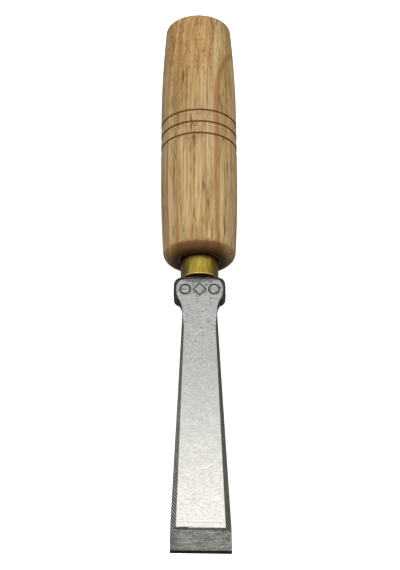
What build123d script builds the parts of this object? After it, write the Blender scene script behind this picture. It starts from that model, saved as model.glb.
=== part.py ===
from build123d import *

import os
from math import cos, radians, sin, sqrt, tan

# Bench chisel: a forged blade with a bolster and tang, a brass ferrule and a turned ash handle.
#
# Millimetres. The origin is the middle of the cutting edge, on the plane of the flat back. +Y runs
# along the tool from the cutting edge to the striking end, and +Z is out of the ground face, so the
# chisel lies on its back with its bevel up.

# ---- Driving dimensions -------------------------------------------------------------------------

# Blade seen from above: nearly parallel over the cutting bevel, then tapering to the neck.
edge_width = 25.4
heel_narrowing = 0.4
neck_width = 14.9
neck_to_bolster = 5.0
blade_length = 110.0

# Blade seen from the side: the back is flat, and the ground face climbs from the heel to the neck.
heel_thickness = 5.1
neck_thickness = 7.9
primary_bevel_angle = 25.0
honed_bevel_angle = 40.0
honed_bevel_length = 1.35
edge_flat = 0.08

# Side bevels: how far each one reaches in from the side, and down from the face.
side_bevel_width_heel = 2.4
side_bevel_drop_heel = 1.0
side_bevel_width_neck = 0.45

# Bolster: a forged block, domed along the tool, ground through by the face and by the flat back.
bolster_width = 22.8
bolster_length = 11.0
bolster_top = 9.9
bolster_crown_radius = 8.5
bolster_crown_from_front = 5.0
bolster_crown_round = 4.4
bolster_front_round = 3.2
bolster_rear_round = 1.1
neck_flare_radius = 10.2
neck_flare_length = 6.0

# Tang: a square spike, broken along its edges, that narrows inside the handle.
tang_root = 6.6
tang_tip = 3.6
tang_length = 66.0
tang_edge_round = 0.5

# Height above the flat back of the axis that the tang, ferrule and handle share.
axis_height = 3.0

# Ferrule: a drawn tube over the handle's tenon, sunk a little way into the shoulder.
ferrule_diameter = 16.6
ferrule_wall = 1.0
ferrule_exposed = 9.5
ferrule_edge_round = 0.3
seat_depth = 1.5
seat_gap = 0.4

# Handle: turned from one blank, with a long straight belly between two slow curves.
handle_length = 120.5
shoulder_diameter = 31.6
belly_diameter = 34.4
end_diameter = 29.8
belly_from_shoulder = 42.0
belly_from_end = 51.0
shoulder_round = 4.5
end_round = 1.8
end_crown = 1.2

# Grooves: each has a steep wall towards the striking end and a long easy slope towards the blade.
groove_count = 3
groove_pitch = 6.0
last_groove_from_end = 53.0
groove_depth = 0.4
groove_slope_length = 2.5
groove_wall_length = 0.35

# Stepped bore for the tang, clear of the tang's corners so that it can be bedded in glue.
tang_corner_gap = 0.5
bore_depth = 38.0
pilot_end_room = 3.0
drill_point_angle = 118.0

# Punched ornament across the bolster's ground face: a ring on each side of a lozenge.
stamp_depth = 0.25
stamp_line = 0.5
stamp_ring_radius = 1.8
stamp_lozenge_radius = 2.3
stamp_spacing = 6.0
stamp_from_rear = 6.2

# ---- Places worked out from the sizes -----------------------------------------------------------

bolster_rear = blade_length + bolster_length
shoulder = bolster_rear + ferrule_exposed
handle_end = shoulder + handle_length
seat_floor = shoulder + seat_depth
ferrule_radius = ferrule_diameter / 2
tenon_radius = ferrule_radius - ferrule_wall
belly_radius = belly_diameter / 2
tang_end = bolster_rear + tang_length
neck_length = blade_length - neck_to_bolster
heel_width = edge_width - heel_narrowing

# Profile of the cutting bevels, from the edge up to the heel.
hone_y = honed_bevel_length * cos(radians(honed_bevel_angle))
hone_z = edge_flat + honed_bevel_length * sin(radians(honed_bevel_angle))
heel = hone_y + (heel_thickness - hone_z) / tan(radians(primary_bevel_angle))
face_slope = (neck_thickness - heel_thickness) / (neck_length - heel)

# For turned pieces: local x is +Y, and local y is the height above the tool's axis.
turning_plane = Plane(origin=(0, 0, axis_height), x_dir=(0, 1, 0), z_dir=(1, 0, 0))
turning_axis = Axis((0, 0, axis_height), (0, 1, 0))


def face_height(y):
    """Height of the ground face above the flat back."""
    return heel_thickness + face_slope * (y - heel)


def clear_of_tang(depth):
    """Diameter of a bore that clears the tang's rounded corners at a depth from the bolster."""
    width = tang_root + (tang_tip - tang_root) * depth / tang_length
    diagonal = width * sqrt(2) - 2 * tang_edge_round * (sqrt(2) - 1)
    return diagonal + 2 * tang_corner_gap


def ground_face(y):
    """Plane of the ground face, with its origin on the tool's middle line at y."""
    return Plane(origin=(0, y, face_height(y)), x_dir=(1, 0, 0), z_dir=(0, -face_slope, 1))


def across_tool(y):
    """Plane square to the tool's axis at y, facing the striking end."""
    return Plane(origin=(0, y, axis_height), x_dir=(-1, 0, 0), z_dir=(0, 1, 0))


def crown_height(y):
    """Height of the bolster's forged crown above the flat back."""
    along = y - blade_length - bolster_crown_from_front
    return bolster_top - bolster_crown_radius + sqrt(bolster_crown_radius**2 - along**2)


def side_bevel(side):
    """Plane of one side bevel: wide and dropped at the heel, narrowing to the neck."""
    at_heel = Vector(heel_width / 2 - side_bevel_width_heel, heel, heel_thickness)
    at_neck = Vector(neck_width / 2 - side_bevel_width_neck, neck_length, neck_thickness)
    dropped = Vector(heel_width / 2, heel, heel_thickness - side_bevel_drop_heel)
    normal = (dropped - at_heel).cross(at_neck - at_heel)
    return Plane(
        origin=(side * at_heel.X, at_heel.Y, at_heel.Z),
        z_dir=(side * normal.X, normal.Y, normal.Z),
    )


# ---- Bolster, as forged and then ground, still without the blade --------------------------------

with BuildPart() as bolster:
    with BuildSketch(Plane.YZ):
        with BuildLine():
            front = Line((blade_length, 0), (blade_length, crown_height(blade_length)))
            crown = ThreePointArc(
                front @ 1,
                (blade_length + bolster_crown_from_front, bolster_top),
                (bolster_rear, crown_height(bolster_rear)),
            )
            Polyline(crown @ 1, (bolster_rear, 0), front @ 0)
        make_face()
    extrude(amount=bolster_width / 2, both=True)
    fillet(bolster.edges().filter_by(GeomType.CIRCLE), radius=bolster_crown_round)
    with BuildSketch(Plane.XY):
        with Locations((0, blade_length + bolster_length / 2)):
            Rectangle(bolster_width, bolster_length)
        corners = vertices().group_by(Axis.Y)
        fillet(corners[0], radius=bolster_front_round)
        fillet(corners[-1], radius=bolster_rear_round)
    extrude(amount=bolster_top, mode=Mode.INTERSECT)
    # Flares that carry the neck's sides out into the block.
    with BuildSketch(Plane.XY):
        with BuildLine():
            flare_end = neck_length + neck_flare_length
            flare_reach = neck_flare_radius - sqrt(neck_flare_radius**2 - neck_flare_length**2)
            flare = TangentArc(
                (neck_width / 2, neck_length),
                (neck_width / 2 + flare_reach, flare_end),
                tangent=(0, 1),
            )
            Line(flare @ 1, (0, flare_end))
            Line(flare @ 0, (0, neck_length))
            mirror(about=Plane.YZ)
        make_face()
    extrude(amount=bolster_top)
    split(bisect_by=ground_face(neck_length), keep=Keep.BOTTOM)

# ---- Blade, bolster and tang, one forging -------------------------------------------------------

with BuildPart() as blade:
    with BuildSketch(Plane.YZ):
        with BuildLine():
            Polyline(
                (0, 0),
                (0, edge_flat),
                (hone_y, hone_z),
                (heel, heel_thickness),
                (neck_length, neck_thickness),
                (neck_length, 0),
                close=True,
            )
        make_face()
    extrude(amount=edge_width, both=True)
    with BuildSketch(Plane.XY):
        with BuildLine():
            Polyline(
                (0, 0),
                (edge_width / 2, 0),
                (heel_width / 2, heel),
                (neck_width / 2, neck_length),
                (0, neck_length),
            )
            mirror(about=Plane.YZ)
        make_face()
    extrude(amount=bolster_top, mode=Mode.INTERSECT)
    for side in (-1, 1):
        split(bisect_by=side_bevel(side), keep=Keep.BOTTOM)
    add(bolster.part)
    # Tang, rooted in the middle of the bolster.
    with BuildSketch(across_tool(bolster_rear)):
        RectangleRounded(tang_root, tang_root, tang_edge_round)
    with BuildSketch(across_tool(tang_end)):
        RectangleRounded(tang_tip, tang_tip, tang_edge_round)
    loft()
    # Punched ornament.
    with BuildSketch(ground_face(bolster_rear - stamp_from_rear)):
        with Locations((-stamp_spacing, 0), (stamp_spacing, 0)):
            Circle(stamp_ring_radius + stamp_line / 2)
            Circle(stamp_ring_radius - stamp_line / 2, mode=Mode.SUBTRACT)
        RegularPolygon(stamp_lozenge_radius + stamp_line / 2, side_count=4)
        RegularPolygon(stamp_lozenge_radius - stamp_line / 2, side_count=4, mode=Mode.SUBTRACT)
    extrude(amount=-stamp_depth, mode=Mode.SUBTRACT)

# ---- Ferrule ------------------------------------------------------------------------------------

with BuildPart() as ferrule:
    with BuildSketch(turning_plane):
        with BuildLine():
            Polyline(
                (bolster_rear, tenon_radius),
                (seat_floor, tenon_radius),
                (seat_floor, ferrule_radius),
                (bolster_rear, ferrule_radius),
                close=True,
            )
        make_face()
    revolve(axis=turning_axis)
    front_rim = ferrule.edges().group_by(Axis.Y)[0].sort_by(SortBy.LENGTH)[-1]
    fillet(front_rim, radius=ferrule_edge_round)

# ---- Bore for the tang, shared by the handle and the glue ---------------------------------------

with BuildPart() as bore:
    with BuildSketch(turning_plane):
        with BuildLine():
            bore_radius = clear_of_tang(0) / 2
            pilot_radius = clear_of_tang(bore_depth) / 2
            bore_end = bolster_rear + bore_depth
            pilot_end = tang_end + pilot_end_room
            point_length = pilot_radius / tan(radians(drill_point_angle / 2))
            Polyline(
                (bolster_rear, 0),
                (bolster_rear, bore_radius),
                (bore_end, bore_radius),
                (bore_end, pilot_radius),
                (pilot_end, pilot_radius),
                (pilot_end + point_length, 0),
                close=True,
            )
        make_face()
    revolve(axis=turning_axis)

# ---- Handle -------------------------------------------------------------------------------------

with BuildPart() as handle:
    with BuildSketch(turning_plane):
        with BuildLine():
            tenon = Polyline(
                (handle_end + end_crown, 0),
                (bolster_rear, 0),
                (bolster_rear, tenon_radius),
                (seat_floor, tenon_radius),
                (seat_floor, ferrule_radius + seat_gap),
                (shoulder, ferrule_radius + seat_gap),
                (shoulder, shoulder_diameter / 2),
            )
            belly = Line(
                (shoulder + belly_from_shoulder, belly_radius),
                (handle_end - belly_from_end, belly_radius),
            )
            TangentArc(belly @ 0, tenon @ 1, tangent=(-1, 0))
            tail = TangentArc(belly @ 1, (handle_end, end_diameter / 2), tangent=(1, 0))
            TangentArc(tenon @ 0, tail @ 1, tangent=(0, 1))
        make_face()
    revolve(axis=turning_axis)
    for rim_y, rim_round in ((shoulder, shoulder_round), (handle_end, end_round)):
        at_rim = handle.edges().filter_by_position(Axis.Y, rim_y, rim_y)
        fillet(at_rim.sort_by(SortBy.RADIUS)[-1], radius=rim_round)
    # Decorative grooves.
    with BuildSketch(turning_plane):
        for number in range(groove_count):
            groove = handle_end - last_groove_from_end - number * groove_pitch
            with BuildLine():
                Polyline(
                    (groove, belly_radius - groove_depth),
                    (groove + groove_wall_length, belly_radius),
                    (groove + groove_wall_length, belly_radius + groove_depth),
                    (groove - groove_slope_length, belly_radius + groove_depth),
                    (groove - groove_slope_length, belly_radius),
                    close=True,
                )
            make_face()
    revolve(axis=turning_axis, mode=Mode.SUBTRACT)
    add(bore.part, mode=Mode.SUBTRACT)

# ---- Glue that beds the tang --------------------------------------------------------------------

with BuildPart() as tang_glue:
    add(bore.part)
    add(blade.part, mode=Mode.SUBTRACT)

# ---- Output -------------------------------------------------------------------------------------

os.makedirs("parts", exist_ok=True)
blade.part.label = "blade"
export_step(blade.part, "parts/blade.step")
ferrule.part.label = "ferrule"
export_step(ferrule.part, "parts/ferrule.step")
handle.part.label = "handle"
export_step(handle.part, "parts/handle.step")
tang_glue.part.label = "tang_glue"
export_step(tang_glue.part, "parts/tang_glue.step")
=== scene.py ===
import bpy
import random
from math import atan2, copysign, cos, pi, radians, sin, sqrt
from mathutils import Matrix, Vector


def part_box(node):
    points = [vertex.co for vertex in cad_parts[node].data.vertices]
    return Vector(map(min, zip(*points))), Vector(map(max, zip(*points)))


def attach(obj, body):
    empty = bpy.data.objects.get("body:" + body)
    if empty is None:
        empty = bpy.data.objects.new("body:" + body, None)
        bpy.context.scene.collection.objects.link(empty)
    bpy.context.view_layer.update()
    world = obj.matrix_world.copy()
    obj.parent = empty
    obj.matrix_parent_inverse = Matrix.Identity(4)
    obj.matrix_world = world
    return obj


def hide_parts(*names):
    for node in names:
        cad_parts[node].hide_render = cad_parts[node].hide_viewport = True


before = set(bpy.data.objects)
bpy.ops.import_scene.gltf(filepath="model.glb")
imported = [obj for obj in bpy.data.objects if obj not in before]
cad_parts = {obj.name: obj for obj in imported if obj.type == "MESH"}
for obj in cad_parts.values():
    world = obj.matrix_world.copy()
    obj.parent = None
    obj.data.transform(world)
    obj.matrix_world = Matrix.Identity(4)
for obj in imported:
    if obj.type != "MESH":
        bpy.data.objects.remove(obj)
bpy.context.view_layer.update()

# Bench chisel, lying on its flat back with the bevel up. The cutting edge is at y = 0 and the
# handle points along +Y. Dictionaries of pieces are in millimetres and degrees. Blender's own
# lengths, and the studio's, are in metres.
mm = 0.001
fine = 0.0001 * mm  # closest that two points of a cut may lie
random.seed(7)

ferruleLow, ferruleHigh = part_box("ferrule")
handleLow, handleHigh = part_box("handle")
turningHeight = (ferruleLow.z + ferruleHigh.z) / 2  # axis shared by tang, ferrule and handle


# Small helpers for modelling

def clearSelection():
    if bpy.context.object and bpy.context.object.mode != "OBJECT":
        bpy.ops.object.mode_set(mode="OBJECT")
    bpy.ops.object.select_all(action="DESELECT")


def makeActive(piece):
    clearSelection()
    piece.select_set(True)
    bpy.context.view_layer.objects.active = piece


def namePiece(name):
    piece = bpy.context.object
    piece.name = name
    piece.data.name = name
    bpy.ops.object.transform_apply(location=True, rotation=True, scale=True)
    return piece


def addBlock(name, low, high):  # corners in millimetres
    clearSelection()
    middle = [(a + b) / 2 * mm for a, b in zip(low, high)]
    size = [(b - a) * mm for a, b in zip(low, high)]
    bpy.ops.mesh.primitive_cube_add(size=1, location=middle, scale=size)
    return namePiece(name)


def editAll(piece):
    makeActive(piece)
    editSelected("FACE")
    bpy.ops.mesh.select_all(action="SELECT")


def grindFlat(piece, point, normal):  # takes off everything in front of a plane
    editAll(piece)
    bpy.ops.mesh.bisect(
        plane_co=Vector(point) * mm, plane_no=Vector(normal).normalized(), use_fill=True,
        clear_outer=True, threshold=fine)
    bpy.ops.object.mode_set(mode="OBJECT")


def unselectMesh(piece):  # gives back the piece's mesh, to select its parts one by one
    makeActive(piece)
    for elements in (piece.data.vertices, piece.data.edges, piece.data.polygons):
        elements.foreach_set("select", [False] * len(elements))
    return piece.data


def editSelected(kind):  # goes on to edit what was selected in code
    bpy.ops.object.mode_set(mode="EDIT")
    bpy.ops.mesh.select_mode(type=kind)


def selectFaces(piece, test):  # test reads a face's middle in millimetres, and its normal
    mesh = unselectMesh(piece)
    chosen = [bool(test(face.center / mm, face.normal)) for face in mesh.polygons]
    mesh.polygons.foreach_set("select", chosen)
    editSelected("FACE")


def scoreLines(piece, test, points, normal):  # cuts lines across the chosen faces
    for point in points:
        selectFaces(piece, test)
        bpy.ops.mesh.bisect(plane_co=Vector(point) * mm, plane_no=normal, threshold=fine)
        bpy.ops.object.mode_set(mode="OBJECT")


def scoreGrid(piece, low, high, pitch):  # cuts the whole piece into small squares
    for axis in range(3):
        normal = [0, 0, 0]
        normal[axis] = 1
        lineCount = int((high[axis] - low[axis]) / pitch)
        for number in range(1, lineCount):
            point = list(low)
            point[axis] = low[axis] + number * (high[axis] - low[axis]) / lineCount
            editAll(piece)
            bpy.ops.mesh.bisect(plane_co=Vector(point) * mm, plane_no=normal, threshold=fine)
    bpy.ops.object.mode_set(mode="OBJECT")


def vertexGroup(piece, name, test):  # test reads a place in millimetres
    group = piece.vertex_groups.new(name=name)
    chosen = [v.index for v in piece.data.vertices if test(v.co / mm)]
    group.add(chosen, 1.0, "REPLACE")
    return group.name


def roughen(piece, name, group, kind, size, depth, middle=0.5):
    texture = bpy.data.textures.new(name, type=kind)
    texture.noise_scale = size * mm
    makeActive(piece)
    displace = piece.modifiers.new(name, "DISPLACE")
    displace.texture = texture
    displace.texture_coords = "LOCAL"
    displace.vertex_group = group
    displace.strength = depth * mm
    displace.mid_level = middle
    bpy.ops.object.modifier_apply(modifier=displace.name)


def combine(piece, other, operation):
    makeActive(piece)
    boolean = piece.modifiers.new(operation, "BOOLEAN")
    boolean.object = other
    boolean.operation = operation
    boolean.solver = "EXACT"
    bpy.ops.object.modifier_apply(modifier=boolean.name)
    bpy.data.objects.remove(other)


def splitUneven(piece):  # flat triangles cut cleanly, and bent squares don't
    editAll(piece)
    bpy.ops.mesh.quads_convert_to_tris()
    bpy.ops.object.mode_set(mode="OBJECT")


def smoothBy(piece, angle):
    makeActive(piece)
    bpy.ops.object.shade_smooth_by_angle(angle=radians(angle))


def turnOnLathe(name, outline, steps):
    # outline is a list of (y, radius) in millimetres, and a radius of 0 closes a pole
    clearSelection()
    startY, startRadius = outline[0]
    closedRing = outline[0] == outline[-1]
    small = 0.01  # a pole is drawn as a tiny ring and then merged
    bpy.ops.mesh.primitive_circle_add(
        vertices=steps, radius=max(startRadius, small) * mm,
        location=(0, startY * mm, turningHeight), rotation=(pi / 2, 0, 0))
    piece = namePiece(name)
    editSelected("VERT")
    bpy.ops.mesh.select_all(action="SELECT")
    if startRadius == 0:
        bpy.ops.mesh.extrude_region_move()
        bpy.ops.mesh.merge(type="CENTER")
        bpy.ops.mesh.select_all(action="INVERT")
    lastY, lastRadius = startY, max(startRadius, small)
    for y, radius in outline[1:]:
        bpy.ops.mesh.extrude_region_move(
            TRANSFORM_OT_translate={"value": (0, (y - lastY) * mm, 0)})
        if radius == 0:
            bpy.ops.mesh.merge(type="CENTER")
            break
        ratio = radius / lastRadius
        bpy.ops.transform.resize(
            value=(ratio, 1, ratio), center_override=(0, y * mm, turningHeight))
        lastY, lastRadius = y, radius
    bpy.ops.mesh.select_all(action="SELECT")
    if closedRing:
        bpy.ops.mesh.remove_doubles(threshold=0.002 * mm)
    bpy.ops.mesh.normals_make_consistent(inside=False)
    bpy.ops.object.mode_set(mode="OBJECT")
    return piece


def arcPoints(centre, radius, startAngle, endAngle, count):  # angles in degrees, 0 along +Y
    turns = [radians(startAngle + (endAngle - startAngle) * n / count) for n in range(count + 1)]
    return [(centre[0] + radius * cos(t), centre[1] + radius * sin(t)) for t in turns]


# Blade, bolster and tang: one forging

blade = {
    "edgeWidth": 25.4, "heelWidth": 25.0, "neckWidth": 14.9,
    "heelFrom": 9.94, "neckFrom": 105.0, "bolsterFrom": 110.0,
    "heelThickness": 5.1, "neckThickness": 7.9,
    "edgeFlat": 0.08, "edgeSkew": 0.49, "heelSkew": 0.75,
    "honeFrom": 1.3, "honeHeight": 0.95, "honeTaper": 0.2, "honeReach": 4.0,
    "rippleSize": 1.1, "rippleDepth": 0.035, "rippleMargin": 0.25,
    "sideBevelWidth": 2.4, "sideBevelDrop": 1.0, "sideBevelWidthAtNeck": 1.0,
    "stockHeight": 9.0, "stockBelow": 1.0, "arris": 0.1, "bevelLinePitch": 0.42, "smoothing": 32,
}
bevelPits = {  # rust pits by the bevel's right-hand side
    "count": 9, "across": (8.6, 12.0), "along": (2.4, 8.6), "radius": (0.3, 0.55), "depth": 0.12,
}
bolster = {
    "width": 22.8, "length": 11.0, "top": 9.9, "crownRadius": 8.5, "crownFromFront": 4.8,
    "sideRound": 4.8, "frontRound": 3.2, "rearRound": 1.3, "flareRadius": 10.2,
    "flareLength": 6.0, "flareSteps": 14, "scorePitch": 0.36,
    "stockBelow": 1.5, "stockAbove": 0.3,
    "crownLeans": range(-38, 47, 6), "sideTilts": range(-75, 76, 15),
    "frontTurns": (15, 30, 45, 60, 75), "rearTurns": (30, 60),
    "lumpSize": 1.3, "lumpDepth": 0.26, "scaleSize": 0.45, "scaleDepth": 0.1, "settling": 0.85,
}
tang = {"root": 6.6, "tip": 3.6, "length": 66.0, "edgeRound": 0.5, "draws": 4}
stamp = {
    "depth": 0.3, "line": 0.9, "ringRadius": 2.2, "lozengeRadius": 2.8, "spacing": 6.2,
    "fromRear": 6.2, "reachAcross": 8.9, "reachAlong": 3.3, "punchHeight": 1.2, "ringSides": 32,
}
bolsterRear = blade["bolsterFrom"] + bolster["length"]
stampLine = bolsterRear - stamp["fromRear"]
faceSlope = ((blade["neckThickness"] - blade["heelThickness"])
             / (blade["neckFrom"] - blade["heelFrom"]))
faceNormal = Vector((0, -faceSlope, 1)).normalized()


def faceHeight(y):
    return blade["heelThickness"] + faceSlope * (y - blade["heelFrom"])


def planeNormal(a, b, c, towards):
    normal = (Vector(b) - Vector(a)).cross(Vector(c) - Vector(a)).normalized()
    return normal if normal.dot(Vector(towards)) > 0 else -normal


halfEdge = blade["edgeWidth"] / 2
halfHeel = blade["heelWidth"] / 2
halfNeck = blade["neckWidth"] / 2
heelRight = (halfHeel, blade["heelFrom"] - blade["heelSkew"] / 2, blade["heelThickness"])
heelLeft = (-halfHeel, blade["heelFrom"] + blade["heelSkew"] / 2, blade["heelThickness"])
honeMiddle = (0, blade["honeFrom"], blade["honeHeight"])
edgeRight = (halfEdge, 0, blade["edgeFlat"])
edgeLeft = (-halfEdge, blade["edgeSkew"], blade["edgeFlat"])
bevelNormal = planeNormal(heelRight, heelLeft, honeMiddle, (0, -1, 1))
honeNormal = planeNormal(edgeRight, edgeLeft, honeMiddle, (0, -1, 1))
frontNormal = planeNormal(edgeRight, edgeLeft, (0, blade["edgeSkew"] / 2, 5), (0, -1, 0))
upSlope = bevelNormal.cross(Vector((1, 0, 0))).normalized()  # along the bevel, square to the edge
sideBevelNormal = planeNormal(
    (halfHeel - blade["sideBevelWidth"], blade["heelFrom"], blade["heelThickness"]),
    (halfNeck - blade["sideBevelWidthAtNeck"], blade["neckFrom"], blade["neckThickness"]),
    (halfHeel, blade["heelFrom"], blade["heelThickness"] - blade["sideBevelDrop"]), (1, 0, 1))


def mirrored(vector, side):
    return (side * vector[0], vector[1], vector[2])


def offBevel(place):  # height above the cutting bevel's plane
    return (place - Vector(heelRight)).dot(bevelNormal)


def isBevel(middle, normal):
    return normal.dot(bevelNormal) > 0.995 and middle.y < 2 * blade["heelFrom"]


def isHone(middle, normal):
    return normal.dot(honeNormal) > 0.98 and middle.y < 3 and not isBevel(middle, normal)


def grindPlank():
    piece = addBlock("chisel_blade", (-halfEdge, 0, -blade["stockBelow"]),
                     (halfEdge, blade["neckFrom"] + 1, blade["stockHeight"]))
    for side in (-1, 1):
        nearEdge = (side * halfEdge, 0, 0)
        nearHeel = (side * halfHeel, blade["heelFrom"], 0)
        nearNeck = (side * halfNeck, blade["neckFrom"], 0)
        for start, end in ((nearEdge, nearHeel), (nearHeel, nearNeck)):
            run = Vector(end) - Vector(start)
            grindFlat(piece, start, (side * run.y, -side * run.x, 0))
        bevelTop = (side * (halfHeel - blade["sideBevelWidth"]), blade["heelFrom"],
                    blade["heelThickness"])
        grindFlat(piece, bevelTop, mirrored(sideBevelNormal, side))
    grindFlat(piece, heelRight, bevelNormal)
    grindFlat(piece, edgeRight, honeNormal)
    grindFlat(piece, edgeRight, frontNormal)
    return piece


def scoreBevel(piece):  # a fine mesh on the bevels, to carry the grinder's ripples
    def onBevels(middle, normal):
        return isBevel(middle, normal) or isHone(middle, normal)
    count = int(blade["edgeWidth"] / blade["bevelLinePitch"])
    across = [(-halfEdge + n * blade["edgeWidth"] / count, 0, 0) for n in range(1, count)]
    scoreLines(piece, onBevels, across, (1, 0, 0))
    start = Vector(honeMiddle)
    length = (blade["heelThickness"] - blade["honeHeight"]) / abs(upSlope.z)
    rows = int(length / blade["bevelLinePitch"])
    upward = upSlope if upSlope.z > 0 else -upSlope
    points = [start + upward * length * n / rows for n in range(1, rows)]
    scoreLines(piece, isBevel, points, upward)


def tiltHone(piece):  # the hand-honed band is broader at the left corner
    shifts = []
    for vertex in piece.data.vertices:
        place = vertex.co / mm
        onBevel = abs(offBevel(place)) < 0.004
        climb = -(place - Vector(edgeRight)).dot(honeNormal) / abs(upSlope.dot(honeNormal))
        if onBevel and climb < blade["honeReach"]:
            ease = 1 - max(climb, 0) / blade["honeReach"]
            shifts.append((vertex.index, -place.x / halfEdge * blade["honeTaper"] * ease))
    for index, shift in shifts:
        mesh = unselectMesh(piece)
        mesh.vertices[index].select = True
        editSelected("VERT")
        bpy.ops.transform.translate(value=upSlope * shift * mm)
        bpy.ops.object.mode_set(mode="OBJECT")


def forgeBolster():
    front, rear, half = blade["bolsterFrom"], bolsterRear, bolster["width"] / 2
    low, high = (-half, front, -bolster["stockBelow"]), (half, rear, bolster["top"])
    block = addBlock("bolster_block", low, (half, rear, bolster["top"] + bolster["stockAbove"]))
    # dome the crown along the tool, and round its two long edges, one small flat at a time
    crownY = front + bolster["crownFromFront"]
    crownZ = bolster["top"] - bolster["crownRadius"]
    spine = bolster["crownRadius"] - bolster["sideRound"]
    for lean in bolster["crownLeans"]:
        along, up = sin(radians(lean)), cos(radians(lean))
        for tilt in bolster["sideTilts"]:
            out, inward = sin(radians(tilt)), cos(radians(tilt))
            reach = spine + bolster["sideRound"] * inward
            rim = copysign(half - bolster["sideRound"], tilt) + bolster["sideRound"] * out
            point = (rim if tilt else 0, crownY + reach * along, crownZ + reach * up)
            grindFlat(block, point, (out, inward * along, inward * up))
    # round the upright corners
    for side in (-1, 1):
        for cornerY, facing, cornerRound, turns in (
                (front, -1, bolster["frontRound"], bolster["frontTurns"]),
                (rear, 1, bolster["rearRound"], bolster["rearTurns"])):
            for turn in turns:
                normal = (side * sin(radians(turn)), facing * cos(radians(turn)), 0)
                point = (side * (half - cornerRound) + cornerRound * normal[0],
                         cornerY - facing * cornerRound + cornerRound * normal[1], 0)
                grindFlat(block, point, normal)
    scoreGrid(block, low, high, bolster["scorePitch"])
    editAll(block)
    bpy.ops.mesh.remove_doubles(threshold=bolster["scorePitch"] * mm / 6)
    bpy.ops.object.mode_set(mode="OBJECT")
    splitUneven(block)
    # hammer lumps and flaking scale, everywhere but on the seat of the ferrule
    forged = vertexGroup(block, "forged", lambda p: p.y < rear - 0.05)
    settling = bolster["settling"]
    roughen(block, "hammerLumps", forged, "CLOUDS", bolster["lumpSize"], bolster["lumpDepth"], settling)
    roughen(block, "flakingScale", forged, "STUCCI", bolster["scaleSize"], bolster["scaleDepth"],
            settling)
    return block


def drawFlare():  # carries the neck's sides out into the bolster
    start, radius, steps = blade["neckFrom"], bolster["flareRadius"], bolster["flareSteps"]
    # the flare starts just within the blade's sides, and ends outside them
    lastY, lastHalf = start - 0.2, halfNeck - 0.03
    block = addBlock("neck_flare", (-lastHalf, start - 0.5, -1.2), (lastHalf, lastY, bolster["top"]))
    selectFaces(block, lambda middle, normal: normal.y > 0.9)
    for number in range(steps + 1):
        along = bolster["flareLength"] * number / steps
        half = halfNeck - 0.01 + radius - sqrt(radius**2 - along**2)
        bpy.ops.mesh.extrude_region_move(
            TRANSFORM_OT_translate={"value": (0, (start + along - lastY) * mm, 0)})
        bpy.ops.transform.resize(value=(half / lastHalf, 1, 1), center_override=(0, 0, 0))
        lastY, lastHalf = start + along, half
    bpy.ops.object.mode_set(mode="OBJECT")
    return block


def drawTang():
    half = tang["root"] / 2
    axis = turningHeight / mm
    block = addBlock("tang_spike", (-half, bolsterRear - 0.05, axis - half),
                     (half, bolsterRear, axis + half))
    selectFaces(block, lambda middle, normal: normal.y > 0.9)
    ratio = (tang["tip"] / tang["root"]) ** (1 / tang["draws"])
    for _ in range(tang["draws"]):
        bpy.ops.mesh.extrude_region_move(
            TRANSFORM_OT_translate={"value": (0, tang["length"] / tang["draws"] * mm, 0)})
        bpy.ops.transform.resize(value=(ratio, 1, ratio), center_override=(0, 0, turningHeight))
    bpy.ops.object.mode_set(mode="OBJECT")
    mesh = unselectMesh(block)
    for edge in mesh.edges:  # its four long edges
        a, b = (mesh.vertices[i].co for i in edge.vertices)
        edge.select = abs(a.y - b.y) > 0.1 * mm
    editSelected("EDGE")
    bpy.ops.mesh.bevel(offset=tang["edgeRound"] * mm, segments=2)
    bpy.ops.object.mode_set(mode="OBJECT")
    return block


def stampCutter(name, x, sides, middleRadius):  # a ring-shaped punch, square to the ground face
    floor = Vector((x, stampLine, faceHeight(stampLine))) - faceNormal * stamp["depth"]
    clearSelection()
    bpy.ops.mesh.primitive_circle_add(
        vertices=sides, radius=(middleRadius + stamp["line"] / 2) * mm, fill_type="NGON",
        location=floor * mm, rotation=(atan2(faceSlope, 1), 0, 0))
    cutter = namePiece(name)
    editSelected("FACE")
    bpy.ops.mesh.select_all(action="SELECT")
    bpy.ops.mesh.inset(thickness=stamp["line"] * mm * cos(pi / sides))
    bpy.ops.mesh.delete(type="FACE")
    bpy.ops.mesh.select_all(action="SELECT")
    bpy.ops.mesh.extrude_region_move(
        TRANSFORM_OT_translate={"value": faceNormal * stamp["punchHeight"] * mm})
    bpy.ops.mesh.select_all(action="SELECT")
    bpy.ops.mesh.normals_make_consistent(inside=False)
    bpy.ops.object.mode_set(mode="OBJECT")
    return cutter


def nearStamp(x, y):
    return abs(y - stampLine) < stamp["reachAlong"] and abs(x) < stamp["reachAcross"]


def softenArris(piece):  # breaks the ground face's long edges, which then catch the light
    mesh = unselectMesh(piece)
    facesOf = {}
    for face in mesh.polygons:
        for key in face.edge_keys:
            facesOf.setdefault(key, []).append(face.index)
    onFace = [face.normal.dot(faceNormal) > 0.99995 and face.center.z > 4 * mm
              for face in mesh.polygons]
    for edge in mesh.edges:
        a, b = (mesh.vertices[i].co / mm for i in edge.vertices)
        around = facesOf.get(edge.key, [])
        outline = len(around) == 2 and onFace[around[0]] != onFace[around[1]]
        edge.select = outline and not nearStamp((a.x + b.x) / 2, (a.y + b.y) / 2)
    editSelected("EDGE")
    bpy.ops.mesh.bevel(offset=blade["arris"] * mm, segments=1, clamp_overlap=True)
    bpy.ops.object.mode_set(mode="OBJECT")


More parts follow.
